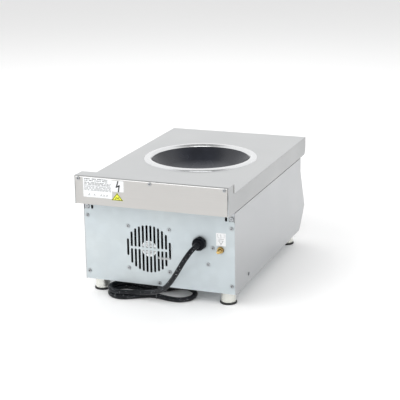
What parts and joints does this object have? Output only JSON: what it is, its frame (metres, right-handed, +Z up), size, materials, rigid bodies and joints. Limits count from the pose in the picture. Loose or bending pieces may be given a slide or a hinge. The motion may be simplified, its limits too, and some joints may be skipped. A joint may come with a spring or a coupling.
{
  "type": "induction wok hob",
  "caption": "Table-top induction wok hob in a folded steel casing, with a sunk glass bowl, rear fan grille, knob, rocker switch, screw feet and a tied mains lead.",
  "frame": {"origin": "on the table under the middle of the casing's width and depth, at the bottom of the feet", "axes": "+Y to the rear, where the fan grille and the mains lead are; +Z up; +X to the right seen from the front"},
  "size_m": [0.389, 0.672, 0.304],
  "materials": {
    "brushed_top": "fine brushed stainless, brushed across the front",
    "steel_panel": "dull rolled stainless sheet",
    "cover_steel": "brushed stainless, slightly warm",
    "galvanised": "pale galvanised sheet",
    "polished_ring": "polished stainless",
    "glass_ceramic": "opaque dark glass-ceramic, polished",
    "silicone": "matt silicone",
    "insulation": "white fibre mat",
    "copper": "enamelled copper wire",
    "carrier_plastic": "moulded heat-proof plastic",
    "ferrite": "sintered ferrite",
    "zinc_steel": "zinc plated steel",
    "sensor_ceramic": "white ceramic",
    "spring_steel": "spring wire",
    "circuit_board": "green solder mask",
    "brass": "plain turned brass",
    "cast_aluminium": "extruded aluminium",
    "chip_epoxy": "moulded epoxy",
    "capacitor_orange": "coated film capacitor",
    "capacitor_yellow": "film capacitor box",
    "choke": "enamelled winding on a ring core",
    "terminal_plastic": "moulded polyamide",
    "fan_plastic": "black moulded plastic",
    "wire_insulation": "wire insulation",
    "window": "smoked red window",
    "knob_plastic": "satin black plastic",
    "rocker_plastic": "red glossy plastic",
    "gland_plastic": "black polyamide",
    "foot_metal": "pale painted tube",
    "foot_rubber": "black rubber",
    "cord_rubber": "black rubber sheath",
    "tie_plastic": "grey twist tie"
  },
  "bodies": {
    "casing": {"top_plate": "brushed_top", "rear_cover": "cover_steel", "trim_ring": "polished_ring", "bowl_seal": "silicone", "glass_bowl": "glass_ceramic", "left_side_panel": "steel_panel", "right_side_panel": "steel_panel", "rear_panel": "galvanised", "base_pan": "galvanised", "control_panel": "steel_panel", "support_rails": "zinc_steel", "corner_brackets": "zinc_steel", "bowl_insulation": "insulation", "induction_coil": "copper", "coil_carrier": "carrier_plastic", "ferrite_bars": "ferrite", "coil_tray": "zinc_steel", "coil_posts": "zinc_steel", "temperature_sensor": "sensor_ceramic", "sensor_spring": "spring_steel", "power_board": "circuit_board", "board_standoffs": "brass", "heat_sink": "cast_aluminium", "power_transistors": "chip_epoxy", "bridge_rectifier": "chip_epoxy", "bus_capacitors": "capacitor_orange", "resonant_capacitors": "capacitor_yellow", "filter_choke": "choke", "filter_board": "circuit_board", "terminal_block": "terminal_plastic", "fan_frame": "fan_plastic", "fan_screws": "zinc_steel", "control_board": "circuit_board", "display_window": "window", "knob_potentiometer": "zinc_steel", "switch_body": "chip_epoxy", "cable_gland": "gland_plastic", "gland_lock_nut": "gland_plastic", "earth_stud": "brass", "earth_nuts": "brass", "foot_sleeves": "foot_metal", "foot_nuts": "zinc_steel", "casing_screws": "zinc_steel", "cover_screws": "zinc_steel", "coil_leads": "wire_insulation", "mains_wires": "wire_insulation", "power_cord": "cord_rubber", "cord_hank": "cord_rubber", "cord_tail": "cord_rubber", "cord_cores": "wire_insulation", "cord_tie": "tie_plastic"},
    "fan_rotor": {"fan_rotor": "fan_plastic"},
    "power_knob": {"power_knob": "knob_plastic"},
    "switch_rocker": {"switch_rocker": "rocker_plastic"},
    "foot_front_left": {"foot_front_left": "foot_rubber"},
    "foot_front_right": {"foot_front_right": "foot_rubber"},
    "foot_rear_left": {"foot_rear_left": "foot_rubber"},
    "foot_rear_right": {"foot_rear_right": "foot_rubber"}
  },
  "joints": [
    {"name": "fan_spin", "type": "hinge", "parent": "casing", "child": "fan_rotor", "pos_m": [0.025, 0.25, 0.124], "axis": [0, 1, 0], "continuous": true},
    {"name": "knob_turn", "type": "hinge", "parent": "casing", "child": "power_knob", "pos_m": [0.095, -0.28706, 0.15836], "axis": [0, -0.9285, 0.3714], "range_deg": [-280, 0]},
    {"name": "switch_rock", "type": "hinge", "parent": "casing", "child": "switch_rocker", "pos_m": [-0.105, -0.28242, 0.1565], "axis": [1, 0, 0], "range_deg": [0, 18]},
    {"name": "foot_front_left_adjust", "type": "slide", "parent": "casing", "child": "foot_front_left", "axis": [0, 0, -1], "range_m": [0, 0.012]},
    {"name": "foot_front_right_adjust", "type": "slide", "parent": "casing", "child": "foot_front_right", "axis": [0, 0, -1], "range_m": [0, 0.012]},
    {"name": "foot_rear_left_adjust", "type": "slide", "parent": "casing", "child": "foot_rear_left", "axis": [0, 0, -1], "range_m": [0, 0.012]},
    {"name": "foot_rear_right_adjust", "type": "slide", "parent": "casing", "child": "foot_rear_right", "axis": [0, 0, -1], "range_m": [0, 0.012]}
  ]
}
